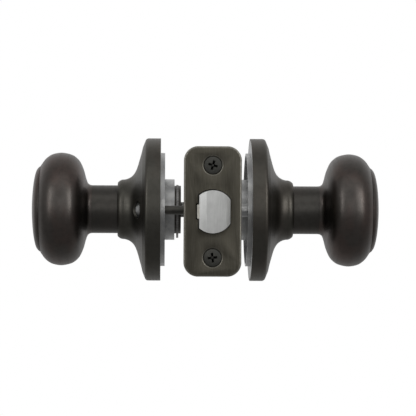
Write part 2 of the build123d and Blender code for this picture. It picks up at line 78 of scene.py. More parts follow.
# ---------------------------------------------------------------- finishes
@dataclass
class Graph:
    """Adds and joins the nodes of one material.

    Attributes:
        tree: The material's node tree.
    """

    tree: bpy.types.NodeTree

    def node(self, kind: str, **settings: object) -> bpy.types.Node:
        """Add a node.

        Args:
            kind: The node's type name without its ShaderNode start.
            **settings: Properties of the node to set.

        Returns:
            The new node.
        """
        made = self.tree.nodes.new("ShaderNode" + kind)
        for name, value in settings.items():
            setattr(made, name, value)
        return made

    def put(self, socket: bpy.types.NodeSocket, value: object) -> None:
        """Link a socket to another, or set it to a plain value.

        Args:
            socket: The input to fill.
            value: Another node's output, or a number or tuple.
        """
        if isinstance(value, bpy.types.NodeSocket):
            self.tree.links.new(value, socket)
        else:
            socket.default_value = value

    def place(self, stretch: Colour = (1, 1, 1), turn: Colour = (0, 0, 0)) -> bpy.types.NodeSocket:
        """The piece's own coordinates.

        Args:
            stretch: How much the pattern is drawn out or packed along each axis.
            turn: Turn of the pattern about each axis, in degrees.

        Returns:
            The mapped vector.
        """
        mapping = self.node("Mapping")
        mapping.inputs["Scale"].default_value = stretch
        mapping.inputs["Rotation"].default_value = tuple(radians(a) for a in turn)
        self.put(mapping.inputs["Vector"], self.node("TexCoord").outputs["Object"])
        return mapping.outputs["Vector"]

    def math(self, task: str, first: object, second: object = 0.0) -> bpy.types.NodeSocket:
        """One arithmetic step.

        Args:
            task: The operation, as Blender's Math node names it.
            first: First number or output.
            second: Second number or output.

        Returns:
            The result.
        """
        made = self.node("Math", operation=task)
        self.put(made.inputs[0], first)
        self.put(made.inputs[1], second)
        return made.outputs[0]

    def length(self, first: object, second: object) -> bpy.types.NodeSocket:
        """Length of a step that is `first` one way and `second` square to it."""
        squares = [self.math("POWER", way, 2) for way in (first, second)]
        return self.math("SQRT", self.math("ADD", *squares))

    def rings(self) -> bpy.types.NodeSocket:
        """Coordinates that are the same all round the knobs' axis, for lathe marks.

        Returns:
            A vector of the distance along X and the radius.
        """
        parts = self.node("SeparateXYZ")
        self.put(parts.inputs[0], self.place())
        squares = [self.math("MULTIPLY", parts.outputs[way], parts.outputs[way]) for way in "YZ"]
        both = self.node("CombineXYZ")
        self.put(both.inputs["X"], parts.outputs["X"])
        self.put(both.inputs["Y"], self.math("SQRT", self.math("ADD", *squares)))
        return both.outputs[0]

    def noise(self, vector: object, scale: float, detail: float = 3.0) -> bpy.types.NodeSocket:
        """Soft noise.

        Args:
            vector: The coordinates it is drawn on.
            scale: Spots per metre.
            detail: How many finer layers it has.

        Returns:
            The noise, from 0 to 1.
        """
        made = self.node("TexNoise")
        self.put(made.inputs["Vector"], vector)
        made.inputs["Scale"].default_value = scale
        made.inputs["Detail"].default_value = detail
        return made.outputs["Fac"]

    def fit(self, value: object, low: float, high: float, start: float, end: float) -> bpy.types.NodeSocket:
        """Map one range onto another, smoothly and clamped.

        Args:
            value: The number to map.
            low: Where the first range starts.
            high: Where it ends.
            start: What `low` becomes.
            end: What `high` becomes.

        Returns:
            The mapped number.
        """
        made = self.node("MapRange", interpolation_type="SMOOTHSTEP")
        for socket, number in zip(made.inputs, (value, low, high, start, end)):
            self.put(socket, number)
        return made.outputs["Result"]

    def blend(self, share: object, first: object, second: object) -> bpy.types.NodeSocket:
        """Mix two colours.

        Args:
            share: How much of the second, from 0 to 1.
            first: First colour.
            second: Second colour.

        Returns:
            The mixed colour.
        """
        made = self.node("Mix", data_type="RGBA")
        self.put(made.inputs[0], share)
        self.put(made.inputs[6], first if isinstance(first, bpy.types.NodeSocket) else (*first, 1))
        self.put(made.inputs[7], second if isinstance(second, bpy.types.NodeSocket) else (*second, 1))
        return made.outputs[2]

    def bump(self, height: object, strength: float, depth: float) -> bpy.types.NodeSocket:
        """Turn a height into a shading normal.

        Args:
            height: The height, from 0 to 1.
            strength: Share of the effect.
            depth: Depth of the relief, in metres.

        Returns:
            The normal.
        """
        made = self.node("Bump")
        made.inputs["Strength"].default_value = strength
        made.inputs["Distance"].default_value = depth
        self.put(made.inputs["Height"], height)
        return made.outputs["Normal"]


@dataclass(frozen=True)
class Finish:
    """A surface finish: its name and how it is drawn.

    Attributes:
        name: The material's name.
        colour: Main colour.
        second: Colour of the patches in it.
        roughness: Middle roughness.
        metal: 1 for bare or plated metal, 0 for plastic.
    """

    name: str
    colour: Colour
    second: Colour
    roughness: float
    metal: float = 1.0

    def paint(self, graph: Graph, shader: bpy.types.Node) -> None:
        """Fill the shader's colour, roughness and normal: soft patches and a fine grain.

        Args:
            graph: The material's graph.
            shader: Its Principled shader.
        """
        here = graph.place()
        patches = graph.fit(graph.noise(here, 140, 4), 0.35, 0.7, 0, 1)
        grain = graph.noise(here, 2600, 2)
        graph.put(shader.inputs["Base Color"], graph.blend(patches, self.colour, self.second))
        rough = graph.fit(grain, 0.3, 0.7, self.roughness - 0.05, self.roughness + 0.05)
        graph.put(shader.inputs["Roughness"], rough)
        graph.put(shader.inputs["Normal"], graph.bump(grain, 0.12, 0.00004))

    def material(self) -> bpy.types.Material:
        """The finish's material, made on first use.

        Returns:
            The material.
        """
        made = bpy.data.materials.get(self.name)
        if made is None:
            made = bpy.data.materials.new(self.name)
            made.use_nodes = True
            shader = made.node_tree.nodes["Principled BSDF"]
            shader.inputs["Metallic"].default_value = self.metal
            self.paint(Graph(made.node_tree), shader)
        return made

    def dress(self, piece: bpy.types.Object) -> None:
        """Give the whole piece this finish."""
        piece.data.materials.clear()
        piece.data.materials.append(self.material())


@dataclass(frozen=True)
class OiledBronze(Finish):
    """Dark oil-rubbed bronze on turned pieces: red-brown blush, lathe marks and satin grain.

    Attributes:
        blush: How strongly the red-brown patches show.
    """

    blush: float = 0.6

    def paint(self, graph: Graph, shader: bpy.types.Node) -> None:
        """Fill the shader with broad blushes over faint rings.

        Args:
            graph: The material's graph.
            shader: Its Principled shader.
        """
        here = graph.place()
        rings = graph.rings()
        broad = graph.fit(graph.noise(graph.place((1, 1, 0.45)), 75, 3), 0.42, 0.66, 0, self.blush)
        mottle = graph.fit(graph.noise(here, 420, 5), 0.4, 0.7, 0, 0.28)
        dark = tuple(0.62 * c for c in self.colour)
        tone = graph.blend(mottle, graph.blend(broad, self.colour, self.second), dark)
        graph.put(shader.inputs["Base Color"], tone)
        marks = graph.noise(rings, 3800, 2)
        grain = graph.noise(here, 3200, 2)
        both = graph.math("ADD", graph.math("MULTIPLY", marks, 0.45), graph.math("MULTIPLY", grain, 0.55))
        rough = graph.fit(both, 0.35, 0.65, self.roughness - 0.05, self.roughness + 0.06)
        graph.put(shader.inputs["Roughness"], rough)
        graph.put(shader.inputs["Normal"], graph.bump(both, 0.16, 0.00003))


@dataclass(frozen=True)
class BrushedPlate(Finish):
    """Brushed dark bronze on the faceplate, with a painted highlight along its rounded edge and round the
    screw seats.

    Attributes:
        worn: Colour of the light brushing streaks, and of the painted highlight at the edge and round the
            screws.
        centre_x: The plate's middle, across.
        half_width: Half its width.
        half_height: Half its height.
        corner: Its corner radius.
        screw_z: Height of its screws above its middle.
        screw_highlight_ring: Radius of the painted highlight ring on the rounded lip of each screw seat.
    """

    worn: Colour = (0.34, 0.325, 0.285)
    centre_x: float = 0.002
    half_width: float = 0.0127
    half_height: float = 0.028575
    corner: float = 0.00635
    screw_z: float = 0.02025
    screw_highlight_ring: float = 0.0043

    def paint(self, graph: Graph, shader: bpy.types.Node) -> None:
        """Fill the shader with upright brushing, a painted highlight along the rounded edge and a painted
        highlight ring round each screw.

        Args:
            graph: The material's graph.
            shader: Its Principled shader.
        """
        parts = graph.node("SeparateXYZ")
        graph.put(parts.inputs[0], graph.place())
        across = graph.math("SUBTRACT", parts.outputs["X"], self.centre_x)
        side = graph.math("ABSOLUTE", across)
        height = graph.math("ABSOLUTE", parts.outputs["Z"])
        out_x = graph.math("MAXIMUM", graph.math("SUBTRACT", side, self.half_width - self.corner), 0.0)
        out_z = graph.math("MAXIMUM", graph.math("SUBTRACT", height, self.half_height - self.corner), 0.0)
        reach = graph.length(out_x, out_z)
        wander = graph.math("MULTIPLY", graph.noise(graph.place(), 500, 4), 0.0005)
        # painted highlight: lightens the plate along its rounded edge, where the edge catches light
        edge_highlight_from = self.corner - 0.00085
        edge_highlight = graph.fit(graph.math("ADD", reach, wander), edge_highlight_from, self.corner + 0.0002, 0, 1)
        # painted highlight: a thin light ring on the rounded lip of each screw seat
        round_screw = graph.length(across, graph.math("SUBTRACT", height, self.screw_z))
        off_ring = graph.math("ABSOLUTE", graph.math("SUBTRACT", round_screw, self.screw_highlight_ring))
        ring = graph.fit(off_ring, 0.0001, 0.00035, 0.4, 0)
        brushed = graph.noise(graph.place((1, 1, 0.035)), 4200, 3)
        cloudy = graph.fit(graph.noise(graph.place((1, 1, 0.4)), 190, 4), 0.35, 0.7, 0, 0.7)
        tone = graph.blend(cloudy, self.colour, self.second)
        streaks = graph.fit(brushed, 0.42, 0.66, 0, 0.1)
        tone = graph.blend(streaks, tone, self.worn)
        # painted highlight: the edge mask and the ring mask together lighten the tone
        wear = graph.math("MAXIMUM", edge_highlight, ring)
        graph.put(shader.inputs["Base Color"], graph.blend(wear, tone, self.worn))
        rough = graph.fit(brushed, 0.3, 0.7, self.roughness - 0.07, self.roughness + 0.07)
        graph.put(shader.inputs["Roughness"], rough)
        graph.put(shader.inputs["Normal"], graph.bump(brushed, 0.14, 0.00003))


@dataclass(frozen=True)
class BrushedMetal(Finish):
    """Plated or bright steel with brushing along one axis.

    Attributes:
        stretch: The brushing's stretch along each axis.
        strength: How strongly the brushing shows.
        painted_shade_from: Where along Y painted shade starts, darkening the piece from there inwards, if
            anywhere.
    """

    stretch: Colour = (1, 1, 0.04)
    strength: float = 0.15
    painted_shade_from: float | None = None

    def paint(self, graph: Graph, shader: bpy.types.Node) -> None:
        """Fill the shader with soft clouds, fine brushing and, where set, painted shade along Y.

        Args:
            graph: The material's graph.
            shader: Its Principled shader.
        """
        clouds = graph.fit(graph.noise(graph.place(), 210, 4), 0.35, 0.7, 0, 1)
        lines = graph.noise(graph.place(self.stretch), 3600, 3)
        tone = graph.blend(clouds, self.colour, self.second)
        light = tuple(min(1.0, 1.2 * c) for c in self.colour)
        tone = graph.blend(graph.fit(lines, 0.45, 0.7, 0, 0.35), tone, light)
        # painted shade: darkens the piece from a set depth along Y inwards, where the bolt sits in the
        # shadowed gap behind the faceplate's front
        if self.painted_shade_from is not None:
            parts = graph.node("SeparateXYZ")
            graph.put(parts.inputs[0], graph.place())
            film = graph.fit(parts.outputs["Y"], self.painted_shade_from, self.painted_shade_from + 0.0012, 0, 1)
            tone = graph.blend(film, tone, tuple(0.06 * c for c in self.colour))
        graph.put(shader.inputs["Base Color"], tone)
        rough = graph.fit(lines, 0.3, 0.7, self.roughness - 0.07, self.roughness + 0.07)
        graph.put(shader.inputs["Roughness"], rough)
        graph.put(shader.inputs["Normal"], graph.bump(lines, self.strength, 0.00003))


@dataclass(frozen=True)
class ZincPlate(Finish):
    """Zinc-plated pressed steel: crystal flakes under a thin film."""

    def paint(self, graph: Graph, shader: bpy.types.Node) -> None:
        """Fill the shader with faint flakes of different tone and gloss.

        Args:
            graph: The material's graph.
            shader: Its Principled shader.
        """
        flakes = graph.node("TexVoronoi")
        graph.put(flakes.inputs["Vector"], graph.place())
        flakes.inputs["Scale"].default_value = 420
        tint = graph.node("SeparateColor")
        graph.put(tint.inputs[0], flakes.outputs["Color"])
        patch = graph.math("MULTIPLY", tint.outputs[0], 0.55)
        graph.put(shader.inputs["Base Color"], graph.blend(patch, self.colour, self.second))
        grain = graph.noise(graph.place(), 2400, 3)
        halves = [graph.math("MULTIPLY", part, 0.5) for part in (tint.outputs[1], grain)]
        mixed = graph.math("ADD", *halves)
        rough = graph.fit(mixed, 0.2, 0.8, self.roughness - 0.07, self.roughness + 0.08)
        graph.put(shader.inputs["Roughness"], rough)
        graph.put(shader.inputs["Normal"], graph.bump(grain, 0.12, 0.00003))


class Shelf:
    """The finishes that the set uses."""

    knob = OiledBronze("bronze_knob_satin", (0.102, 0.093, 0.086), (0.12, 0.087, 0.077), 0.37, blush=0.6)
    rose = OiledBronze("bronze_rose_satin", (0.1, 0.096, 0.084), (0.112, 0.092, 0.078), 0.42, blush=0.35)
    shank = OiledBronze("bronze_shank_satin", (0.084, 0.08, 0.073), (0.094, 0.079, 0.07), 0.4, blush=0.3)
    plate = BrushedPlate("bronze_plate_brushed", (0.094, 0.087, 0.069), (0.112, 0.103, 0.081), 0.44)
    screw = Finish("black_oxide", (0.075, 0.075, 0.068), (0.11, 0.106, 0.096), 0.4)
    # painted shade: the bolt is darkened from just behind the faceplate's front inwards
    bolt = BrushedMetal(
        "satin_zinc_bolt", (0.84, 0.845, 0.83), (0.76, 0.765, 0.75), 0.55, painted_shade_from=-0.0596)
    strip = Finish("cream_nylon", (0.62, 0.6, 0.54), (0.55, 0.53, 0.47), 0.45, metal=0.0)
    bearing = Finish("natural_nylon", (0.66, 0.65, 0.6), (0.6, 0.59, 0.54), 0.5, metal=0.0)
    zinc = ZincPlate("zinc_plate", (0.5, 0.5, 0.49), (0.36, 0.37, 0.38), 0.36)
    # painted shade: the zinc plating darkened for the backplate, which shows only in the shadowed gap round
    # the bolt
    dull = ZincPlate("dull_zinc", (0.13, 0.13, 0.125), (0.09, 0.092, 0.094), 0.5)
    spring = BrushedMetal(
        "oiled_spring_steel", (0.26, 0.255, 0.25), (0.19, 0.185, 0.18), 0.3, stretch=(0.1, 1, 0.1))
    bright = BrushedMetal(
        "bright_steel", (0.46, 0.455, 0.44), (0.36, 0.355, 0.34), 0.33, stretch=(0.05, 1, 1))


# ---------------------------------------------------------------- hand work
class Bench:
    """Modelling steps that the pieces share."""

    @staticmethod
    def clear() -> None:
        """Leave edit mode and select nothing."""
        if bpy.context.object is not None and bpy.context.object.mode != "OBJECT":
            bpy.ops.object.mode_set(mode="OBJECT")
        bpy.ops.object.select_all(action="DESELECT")

    @staticmethod
    def take(piece: bpy.types.Object) -> None:
        """Select one piece alone and make it active."""
        Bench.clear()
        piece.select_set(True)
        bpy.context.view_layer.objects.active = piece

    @staticmethod
    def edit(mode: str = "VERT") -> None:
        """Enter edit mode with nothing selected.

        Args:
            mode: VERT, EDGE or FACE.
        """
        bpy.ops.object.mode_set(mode="EDIT")
        bpy.ops.mesh.select_mode(type=mode)
        bpy.ops.mesh.select_all(action="DESELECT")

    @staticmethod
    def pick(piece: bpy.types.Object, kind: str, test: Callable[[object], bool]) -> int:
        """Select elements of a piece in edit mode by a test.

        Args:
            piece: The piece, active and in edit mode.
            kind: vertices, edges or polygons.
            test: Says for each element whether it is picked.

        Returns:
            How many were picked.
        """
        bpy.ops.object.mode_set(mode="OBJECT")
        count = 0
        for element in getattr(piece.data, kind):
            element.select = bool(test(element))
            count += element.select
        bpy.ops.object.mode_set(mode="EDIT")
        return count

    @staticmethod
    def modify(piece: bpy.types.Object, kind: str, **settings: object) -> None:
        """Add a modifier and apply it.

        Args:
            piece: The piece.
            kind: The modifier's type.
            **settings: Its properties.
        """
        Bench.take(piece)
        bpy.ops.object.modifier_add(type=kind)
        modifier = piece.modifiers[-1]
        for name, value in settings.items():
            setattr(modifier, name, value)
        bpy.ops.object.modifier_apply(modifier=modifier.name)

    @staticmethod
    def cut(piece: bpy.types.Object, tool: bpy.types.Object) -> None:
        """Cut a tool's shape out of a piece and throw the tool away."""
        Bench.modify(piece, "BOOLEAN", operation="DIFFERENCE", solver="EXACT", object=tool)
        bpy.data.objects.remove(tool, do_unlink=True)

    @staticmethod
    def settle(piece: bpy.types.Object, name: str, angle: float = 32.0) -> bpy.types.Object:
        """Merge doubles, face outwards, smooth by angle and leave the piece at the origin.

        Args:
            piece: The piece.
            name: Its final name.
            angle: Edges sharper than this stay sharp, in degrees.

        Returns:
            The piece.
        """
        Bench.take(piece)
        bpy.ops.object.mode_set(mode="EDIT")
        bpy.ops.mesh.select_all(action="SELECT")
        bpy.ops.mesh.remove_doubles(threshold=MERGE)
        bpy.ops.mesh.normals_make_consistent(inside=False)
        bpy.ops.object.mode_set(mode="OBJECT")
        bpy.ops.object.transform_apply(location=True, rotation=True, scale=True)
        bpy.ops.object.shade_smooth_by_angle(angle=radians(angle))
        piece.name = name
        piece.data.name = name
        return piece

    @staticmethod
    def trace(name: str, spots: Sequence[Vector]) -> bpy.types.Object:
        """Draw an open line through points, starting from a single vertex.

        Args:
            name: The line's name.
            spots: The points.

        Returns:
            The line, in edit mode.
        """
        Bench.clear()
        bpy.ops.mesh.primitive_plane_add(size=MM, location=(0, 0, 0))
        piece = bpy.context.object
        piece.name = name
        bpy.ops.object.mode_set(mode="EDIT")
        bpy.ops.mesh.select_mode(type="VERT")
        bpy.ops.mesh.select_all(action="SELECT")
        bpy.ops.mesh.merge(type="CENTER")
        bpy.ops.transform.translate(value=spots[0])
        for before, after in zip(spots, spots[1:]):
            bpy.ops.mesh.extrude_region_move(TRANSFORM_OT_translate={"value": after - before})
        return piece

    @staticmethod
    def turn(name: str, profile: Sequence[Point], around: str = "X", steps: int = 144,
             along: Vector | None = None) -> bpy.types.Object:
        """Spin a profile into a turned piece.

        Args:
            name: The piece's name.
            profile: Points of (distance along the axis, radius), in metres.
            around: The axis, X or Y.
            steps: How many sides the turned piece has.
            along: A point on the axis, the origin if not given.

        Returns:
            The turned piece, in object mode.
        """
        base = along or Vector((0, 0, 0))
        axis = Vector((1, 0, 0)) if around == "X" else Vector((0, 1, 0))
        spots = [base + axis * run + Vector((0, 0, rise)) for run, rise in profile]
        piece = Bench.trace(name, spots)
        bpy.ops.mesh.select_all(action="SELECT")
        bpy.ops.mesh.spin(steps=steps, angle=2 * pi, center=base, axis=axis)
        bpy.ops.mesh.select_all(action="SELECT")
        bpy.ops.mesh.remove_doubles(threshold=MERGE)
        bpy.ops.mesh.normals_make_consistent(inside=False)
        bpy.ops.object.mode_set(mode="OBJECT")
        return piece

    @staticmethod
    def block(name: str, low: Sequence[float], high: Sequence[float]) -> bpy.types.Object:
        """A box between two corners, in object mode.

        Args:
            name: The piece's name.
            low: Lowest corner.
            high: Highest corner.

        Returns:
            The box.
        """
        Bench.clear()
        middle = (Vector(low) + Vector(high)) / 2
        size = Vector(high) - Vector(low)
        bpy.ops.mesh.primitive_cube_add(size=1, location=middle, scale=size)
        bpy.ops.object.transform_apply(location=True, rotation=True, scale=True)
        bpy.context.object.name = name
        return bpy.context.object

    @staticmethod
    def close_ends(piece: bpy.types.Object) -> None:
        """Merge a wound piece's doubles and put a face across each open end."""
        Bench.take(piece)
        bpy.ops.object.mode_set(mode="EDIT")
        bpy.ops.mesh.select_mode(type="VERT")
        bpy.ops.mesh.select_all(action="SELECT")
        bpy.ops.mesh.remove_doubles(threshold=MERGE)
        bpy.ops.mesh.select_all(action="DESELECT")
        bpy.ops.mesh.select_non_manifold()
        bpy.ops.mesh.edge_face_add()
        bpy.ops.object.mode_set(mode="OBJECT")

    @staticmethod
    def copy(piece: bpy.types.Object, name: str) -> bpy.types.Object:
        """A copy of a piece with its own mesh.

        Args:
            piece: The piece to copy.
            name: The copy's name.

        Returns:
            The copy.
        """
        Bench.take(piece)
        bpy.ops.object.duplicate(linked=False)
        bpy.context.object.name = name
        bpy.context.object.data.name = name
        return bpy.context.object

    @staticmethod
    def unite(pieces: Sequence[bpy.types.Object]) -> bpy.types.Object:
        """Join pieces into the first one.

        Args:
            pieces: The pieces.

        Returns:
            The joined piece.
        """
        Bench.clear()
        for piece in pieces:
            piece.select_set(True)
        bpy.context.view_layer.objects.active = pieces[0]
        bpy.ops.object.join()
        return pieces[0]


def hand_over(piece: bpy.types.Object, finish: Finish, node: str, body: str) -> None:
    """Dress a finished piece, put it in place of its node and let it move with its body.

    Args:
        piece: The piece.
        finish: Its finish.
        node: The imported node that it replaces.
        body: The body that it rides on.
    """
    finish.dress(piece)
    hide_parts(node)
    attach(piece, body)
    log.info("%s: %d faces", piece.name, len(piece.data.polygons))


def flowing(points: Sequence[Point], steps: int = 7) -> list[Point]:
    """A smooth line through points, as a bent spline would lie.

    Args:
        points: The points it passes through.
        steps: How many pieces each stretch is divided into.

    Returns:
        The points of the line.
    """
    first = (2 * points[0][0] - points[1][0], 2 * points[0][1] - points[1][1])
    last = (2 * points[-1][0] - points[-2][0], 2 * points[-1][1] - points[-2][1])
    spots = [Vector(p) for p in (first, *points, last)]
    line: list[Point] = []
    for a, b, c, d in zip(spots, spots[1:], spots[2:], spots[3:]):
        ab, bc, cd = ((q - p).length ** 0.5 for p, q in ((a, b), (b, c), (c, d)))
        leave = (b - a) / ab - (c - a) / (ab + bc) + (c - b) / bc
        reach = (c - b) / bc - (d - b) / (bc + cd) + (d - c) / cd
        for step in range(steps):
            t = step / steps
            spot = (
                (2 * t**3 - 3 * t**2 + 1) * b + (t**3 - 2 * t**2 + t) * bc * leave
                + (3 * t**2 - 2 * t**3) * c + (t**3 - t**2) * bc * reach
            )
            line.append((spot.x, spot.y))
    line.append(points[-1])
    return line


def outline_mm(points: Sequence[Point]) -> list[Point]:
    """The same points in metres."""
    return [(a * MM, b * MM) for a, b in points]


# ---------------------------------------------------------------- the set
@dataclass
class Knob:
    """One knob: a hollow mushroom grip, its domed face and its shank.

    Attributes:
        side: The side of the door it is on.
        wall: Wall of the grip, in millimetres.
    """

    side: Side
    wall: float = 1.3

    def box(self, what: str) -> tuple[float, float, float]:
        """Start, end and radius of one of the knob's nodes, outwards, in millimetres."""
        low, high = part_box(f"{self.side.word}_{what}")
        near, far = sorted((abs(low.x), abs(high.x)))
        return near / MM, far / MM, high.z / MM

    def set_out(self, line: Sequence[Point]) -> list[Point]:
        """Points of (distance from mid-door, radius) as metres on this side."""
        return [(self.side.value * out * MM, r * MM) for out, r in line]

    def build_grip(self) -> bpy.types.Object:
        """The mushroom grip, spun from its outer line and given its wall.

        Returns:
            The grip.
        """
        start, end, widest = self.box("knob_shell")
        neck = self.box("knob_shank")[2]
        bore = neck - 0.75
        back = flowing((
            (start, neck), (start + 1.1, neck + 0.25), (start + 2.1, neck + 1.05),
            (start + 3.0, neck + 3.4), (start + 4.1, neck + 7.3), (start + 5.9, neck + 11.2),
            (start + 7.7, widest - 2.1), (start + 9.6, widest - 0.95), (start + 13.85, widest),
            (start + 16.6, widest - 0.2), (start + 19.25, widest - 1.0), (start + 21.9, widest - 2.95),
            (end, widest - 5.75),
        ), 5)
        piece = Bench.turn(f"{self.side.word}_grip", self.set_out([(start, bore), *back]))
        Bench.modify(piece, "SOLIDIFY", thickness=self.wall * MM, offset=-1.0, use_even_offset=True)
        return Bench.settle(piece, f"{self.side.word}_grip", 40)

    def build_face(self) -> bpy.types.Object:
        """The domed face with its rounded shoulder, and the skirt that locates it.

        Returns:
            The face.
        """
        seat, top, edge = self.box("knob_face")
        seat += 3.0
        dome = flowing((
            (top, 0.0), (top - 0.28, 7.4), (top - 1.2, edge - 5.2), (top - 2.1, edge - 1.95),
            (seat + 1.3, edge - 0.8),
        ), 7)
        shoulder = flowing((dome[-1], (seat + 0.65, edge - 0.28), (seat + 0.18, edge)), 4)
        skirt = edge - 0.9
        under = flowing((
            (seat + 0.9, skirt - 2.4), (top - 2.45, edge - 6.2), (top - 1.55, 7.0), (top - 1.3, 0.0),
        ), 5)
        line = [
            *dome, *shoulder[1:], (seat, edge - 0.12), (seat, skirt), (seat - 3.0, skirt),
            (seat - 3.0, skirt - 1.2), (seat, skirt - 1.2), *under,
        ]
        piece = Bench.turn(f"{self.side.word}_face", self.set_out(line))
        return Bench.settle(piece, f"{self.side.word}_domed_face", 40)

    def build(self) -> None:
        """Build and dress the knob's pieces, and let them turn with the knobs."""
        for piece, node in ((self.build_grip(), "knob_shell"), (self.build_face(), "knob_face")):
            hand_over(piece, Shelf.knob, f"{self.side.word}_{node}", "knobs")
        Shelf.shank.dress(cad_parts[f"{self.side.word}_knob_shank"])


@dataclass
class Thread:
    """A screw thread that fills the outside of a shank.

    Attributes:
        crest: Radius over the crests, in metres.
        depth: Depth of the thread.
        pitch: Distance from crest to crest.
        turns: How many turns there are.
    """

    crest: float
    depth: float
    pitch: float
    turns: int

    def build(self, start: Vector, along: Vector) -> bpy.types.Object:
        """Wind the thread from one tooth and close both its ends.

        Args:
            start: Middle of the thread's first turn.
            along: Unit vector of its axis, X or Y.

        Returns:
            The threaded rod.
        """
        root = self.crest - self.depth
        tooth = (
            (0.0, root), (0.16, root), (0.44, self.crest), (0.56, self.crest), (0.84, root), (1.0, root),
        )
        piece = Bench.trace("thread", [Vector((radius, 0, run * self.pitch)) for run, radius in tooth])
        bpy.ops.object.mode_set(mode="OBJECT")
        Bench.modify(
            piece, "SCREW", axis="Z", angle=2 * pi, screw_offset=self.pitch, iterations=self.turns,
            steps=40, render_steps=40, use_merge_vertices=True, merge_threshold=MERGE,
        )
        Bench.close_ends(piece)
        piece.rotation_mode = "QUATERNION"
        piece.rotation_quaternion = Vector((0, 0, 1)).rotation_difference(along)
        piece.location = start
        Bench.take(piece)
        bpy.ops.object.transform_apply(location=True, rotation=True, scale=True)
        return piece


@dataclass
class Fasteners:
    """The two wood screws of the latch and the two long screws that draw the roses together.

    Attributes:
        cross: Width across a driver recess, in metres.
        slot: Width of each of its slots.
        tilts: How the wood screws' recesses are turned, top then bottom, in degrees.
    """

    cross: float = 0.0043
    slot: float = 0.00105
    tilts: tuple[float, float] = (16.0, -7.0)

    def cut_recess(self, head: bpy.types.Object, centre: Vector, inwards: Vector,
                   depth: float, turn: float) -> None:
        """Cut a cross recess: two crossing slots whose ends slope inwards.

        Args:
            head: The screw.
            centre: Middle of the recess on the head's surface.
            inwards: Unit vector into the screw.
            depth: Depth of the recess.
            turn: Turn about the screw's axis, in degrees.
        """
        for quarter, deep in ((0, depth), (90, 0.94 * depth)):
            half = (self.cross / 2, self.slot / 2)
            bar = Bench.block("bar", (-half[0], -half[1], -0.05 * MM), (*half, deep))
            Bench.take(bar)
            Bench.edit("FACE")
            Bench.pick(bar, "polygons", lambda face: face.normal.z > 0.9)
            bpy.ops.transform.resize(value=(0.25, 0.6, 1), center_override=(0, 0, deep))
            bpy.ops.object.mode_set(mode="OBJECT")
            bar.rotation_euler = (0, 0, radians(quarter + turn))
            bpy.ops.object.transform_apply(location=True, rotation=True, scale=True)
            bar.rotation_mode = "QUATERNION"
            bar.rotation_quaternion = Vector((0, 0, 1)).rotation_difference(inwards)
            bar.location = centre
            bpy.ops.object.transform_apply(location=True, rotation=True, scale=True)
            Bench.cut(head, bar)

    def wood_screw(self, centre: Vector, head_y: float, tilt: float, name: str) -> bpy.types.Object:
        """One countersunk wood screw with a cross recess, a plain neck, a thread and a point.

        Args:
            centre: A point on the screw's axis.
            head_y: Where its head's top lies.
            tilt: Turn of its recess, in degrees.
            name: Its name.

        Returns:
            The screw.
        """
        line = outline_mm((
            (0.0, 0.0), (0.0, 3.5), (0.06, 3.75), (0.2, 3.86), (0.36, 3.8), (1.9, 2.25),
            (2.3, 2.18), (3.3, 2.18), (3.6, 1.45), (15.3, 1.4), (17.4, 0.8), (18.9, 0.12), (19.0, 0.0),
        ))
        axis = Vector((centre.x, head_y, centre.z))
        body = Bench.turn(name, line, "Y", 64, axis)
        self.cut_recess(body, axis, Vector((0, 1, 0)), 2.8 * MM, tilt)
        inwards = Vector((0, 1, 0))
        winding = Thread(2.0 * MM, 0.55 * MM, 1.35 * MM, 8).build(axis + inwards * 3.9 * MM, inwards)
        tip = Thread(1.62 * MM, 0.5 * MM, 1.35 * MM, 2).build(axis + inwards * 14.7 * MM, inwards)
        Bench.take(tip)
        Bench.edit()
        for reach, share in ((15.5, 0.88), (16.3, 0.8), (17.0, 0.72)):
            Bench.pick(tip, "vertices", lambda v, far=axis.y + reach * MM: v.co.y > far)
            bpy.ops.transform.resize(value=(share, 1, share), center_override=(axis.x, axis.y, axis.z))
        bpy.ops.object.mode_set(mode="OBJECT")
        return Bench.settle(Bench.unite([body, winding, tip]), name, 38)

    def long_screw(self, name: str, low: Vector, high: Vector, fixing_y: float) -> bpy.types.Object:
        """One long machine screw: rounded head with a cross recess, shank and end thread.

        Args:
            name: Its name.
            low: Lowest corner of the screws' node.
            high: Highest corner of it.
            fixing_y: Where its axis lies.

        Returns:
            The screw.
        """
        axis = Vector((low.x, fixing_y, 0))
        length = (high.x - low.x) / MM
        head = flowing(((0.0, 2.75), (0.14, 3.15), (0.45, 3.5), (0.95, 3.72), (2.1, 3.75)), 3)
        line = [(0.0, 0.0), *head, (2.35, 3.66), (2.4, 2.03), (length - 14, 2.03), (length - 13.6, 1.55),
                (length - 0.5, 1.5), (length, 1.0), (length, 0.0)]
        body = Bench.turn(name, outline_mm(line), "X", 64, axis)
        self.cut_recess(body, axis, Vector((1, 0, 0)), 2.0 * MM, 20)
        winding = Thread(2.03 * MM, 0.5 * MM, 0.8 * MM, 16).build(
            axis + Vector(((length - 13.5) * MM, 0, 0)), Vector((1, 0, 0)))
        return Bench.settle(Bench.unite([body, winding]), name, 38)

    def build(self) -> None:
        """Build, dress and place all four screws."""
        low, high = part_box("faceplate_screws")
        x = (low.x + high.x) / 2
        spread = high.z - 3.95 * MM
        for z, tilt, name in ((spread, self.tilts[0], "top"), (-spread, self.tilts[1], "bottom")):
            piece = self.wood_screw(Vector((x, 0, z)), low.y, tilt, f"wood_screw_{name}")
            hand_over(piece, Shelf.screw, "faceplate_screws", "chassis")
        low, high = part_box("mounting_screws")
        fixing_y = high.y - 3.75 * MM
        rear = self.long_screw("long_screw_rear", low, high, fixing_y)
        front = Bench.copy(rear, "long_screw_front")
        front.location.y = -2 * fixing_y
        Bench.settle(front, "long_screw_front", 38)
        for piece in (rear, front):
            hand_over(piece, Shelf.screw, "mounting_screws", "chassis")


